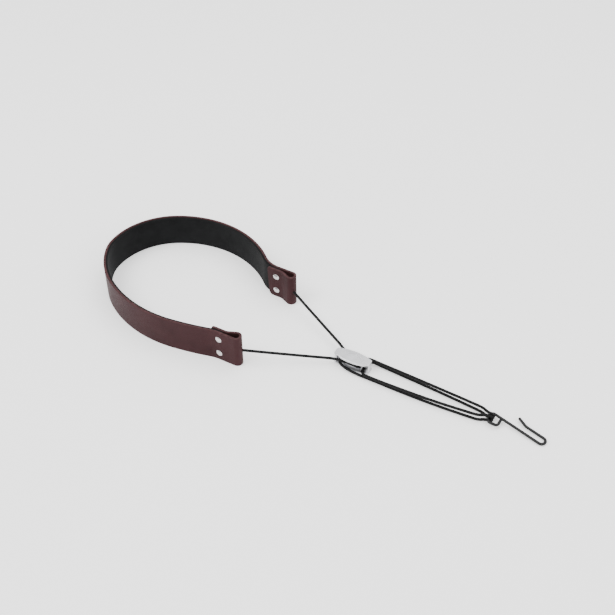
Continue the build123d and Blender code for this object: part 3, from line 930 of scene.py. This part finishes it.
class STRAP_OT_hook(bpy.types.Operator):
    """Makes the bent wire hook, with round ends."""
    bl_idname = "strap.hook"
    bl_label = "Wire hook"

    def execute(self, context):
        settings = context.scene.metal_settings
        line = resampled(hook_points(), HOOK_STEP)
        radius = settings.wire / 2
        along = arc_lengths(line)
        from_end = np.minimum(along, along[-1] - along)
        near_end = np.clip(1 - from_end / (0.6 * radius), 0, 1)
        width = radius * (0.55 + 0.45 * np.sqrt(1 - near_end ** 2))
        guide = np.broadcast_to([math.sin(HOOK_TILT), 0.0, math.cos(HOOK_TILT)], line.shape)
        points = carry_round_profile(line, guide, np.repeat(width[:, None], HOOK_SIDES, axis=1))
        hook = mesh_from_grid("bent_wire_hook", points, closed=True, flip=True)
        hook.data.materials.append(hook_enamel(settings.enamel))
        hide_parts("hook_wire")
        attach(hook, "hook")
        return {"FINISHED"}


# ---- metal pieces kept from the model
def dress(nodes, material):
    """Gives kept model nodes one material."""
    for name in nodes:
        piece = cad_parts[name]
        if not piece.material_slots:
            piece.data.materials.append(material)
        for slot in piece.material_slots:
            slot.material = material


class STRAP_OT_rivets(bpy.types.Operator):
    """Gives the rivets their polished nickel."""
    bl_idname = "strap.rivets"
    bl_label = "Rivets"

    def execute(self, context):
        settings = context.scene.metal_settings
        nickel = satin_metal("polished_nickel", settings.nickel, 0.12, 0.3, 2500.0, 0.002)
        dress(["near_rivet_caps", "near_rivet_posts", "far_rivet_caps", "far_rivet_posts"], nickel)
        return {"FINISHED"}


class STRAP_OT_adjuster(bpy.types.Operator):
    """Gives the adjuster and its screws their brushed metals."""
    bl_idname = "strap.adjuster"
    bl_label = "Adjuster"

    def execute(self, context):
        settings = context.scene.metal_settings
        satin = satin_metal("satin_silver", settings.satin, 0.22, 0.4)
        steel = satin_metal("plain_steel", settings.steel, 0.3, 0.5)
        dress(["adjuster_top", "adjuster_base", "adjuster_core"], satin)
        dress(["adjuster_screws"], steel)
        return {"FINISHED"}


# ---- the stage
def area_light(name, place, aim, size, power):
    light = bpy.data.lights.new(name, "AREA")
    light.shape = "DISK"
    light.size = size
    light.energy = power
    lamp = bpy.data.objects.new(name, light)
    lamp.location = place
    lamp.rotation_euler = (Vector(aim) - Vector(place)).to_track_quat("-Z", "Y").to_euler()
    bpy.context.scene.collection.objects.link(lamp)


class STRAP_OT_stage(bpy.types.Operator):
    """Makes the pale floor, the soft lights and the camera."""
    bl_idname = "strap.stage"
    bl_label = "Stage"

    def execute(self, context):
        settings = context.scene.stage_settings
        self.floor(settings)
        world = bpy.data.worlds.new("soft_room")
        world.use_nodes = True
        sky = world.node_tree.nodes["Background"].inputs
        sky["Color"].default_value = (1.0, 1.0, 1.0, 1.0)
        sky["Strength"].default_value = ROOM_LIGHT
        context.scene.world = world
        aim = Vector(settings.aim)
        for name, (place, size, power) in LIGHTS.items():
            area_light(name, place, aim, size, power)
        self.camera(context, settings, aim)
        return {"FINISHED"}

    def floor(self, settings):
        edge = (-FLOOR_HALF, FLOOR_HALF)
        floor = mesh_from_grid("pale_floor", np.array([[(x, y, -FLOOR_DROP) for y in edge]
                                                       for x in edge]))
        material, tree, shader = new_material("pale_floor", Roughness=0.9, Specular_IOR_Level=0.1,
                                              Emission_Strength=FLOOR_GLOW)
        mottle = effect(tree, "soft_mottle", object_coordinates(tree), Scale=2.0)
        feed(shades(tree, mottle["Tone"], settings.floor, 0.985, 1.0), shader.inputs["Base Color"])
        floor.data.materials.append(material)

    def camera(self, context, settings, aim):
        a, e = settings.azimuth, settings.elevation
        back = Vector((math.sin(a) * math.cos(e), -math.cos(a) * math.cos(e), math.sin(e)))
        lens = bpy.data.cameras.new("camera")
        lens.lens = settings.lens
        lens.sensor_width = 36.0
        camera = bpy.data.objects.new("camera", lens)
        camera.location = aim + back * settings.distance
        camera.rotation_euler = (-back).to_track_quat("-Z", "Y").to_euler()
        context.scene.collection.objects.link(camera)
        context.scene.camera = camera


# ---- the add-on
class STRAP_PT_panel(bpy.types.Panel):
    """Lists the strap's pieces in the 3D view's sidebar."""
    bl_idname = "STRAP_PT_panel"
    bl_label = "Neck strap"
    bl_space_type = "VIEW_3D"
    bl_region_type = "UI"
    bl_category = "Neck strap"

    def draw(self, context):
        for operator in OPERATORS:
            self.layout.operator(operator.bl_idname)


OPERATORS = (STRAP_OT_stage, STRAP_OT_cord, STRAP_OT_leather_band, STRAP_OT_suede_lining,
             STRAP_OT_rivets, STRAP_OT_adjuster, STRAP_OT_hook)
SETTINGS = {"band_settings": BandSettings, "cord_settings": CordSettings,
            "metal_settings": MetalSettings, "stage_settings": StageSettings}


def register():
    for group in SETTINGS.values():
        bpy.utils.register_class(group)
    for name, group in SETTINGS.items():
        setattr(bpy.types.Scene, name, PointerProperty(type=group))
    for item in (*OPERATORS, STRAP_PT_panel):
        bpy.utils.register_class(item)


def unregister():
    for item in (STRAP_PT_panel, *reversed(OPERATORS)):
        bpy.utils.unregister_class(item)
    for name, group in SETTINGS.items():
        delattr(bpy.types.Scene, name)
        bpy.utils.unregister_class(group)


def main():
    """Registers the add-on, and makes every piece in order."""
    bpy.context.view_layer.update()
    register()
    bpy.ops.strap.stage()
    bpy.ops.strap.cord()
    bpy.ops.strap.leather_band()
    bpy.ops.strap.suede_lining()
    bpy.ops.strap.rivets()
    bpy.ops.strap.adjuster()
    bpy.ops.strap.hook()
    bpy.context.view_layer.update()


if __name__ == "__main__":
    main()
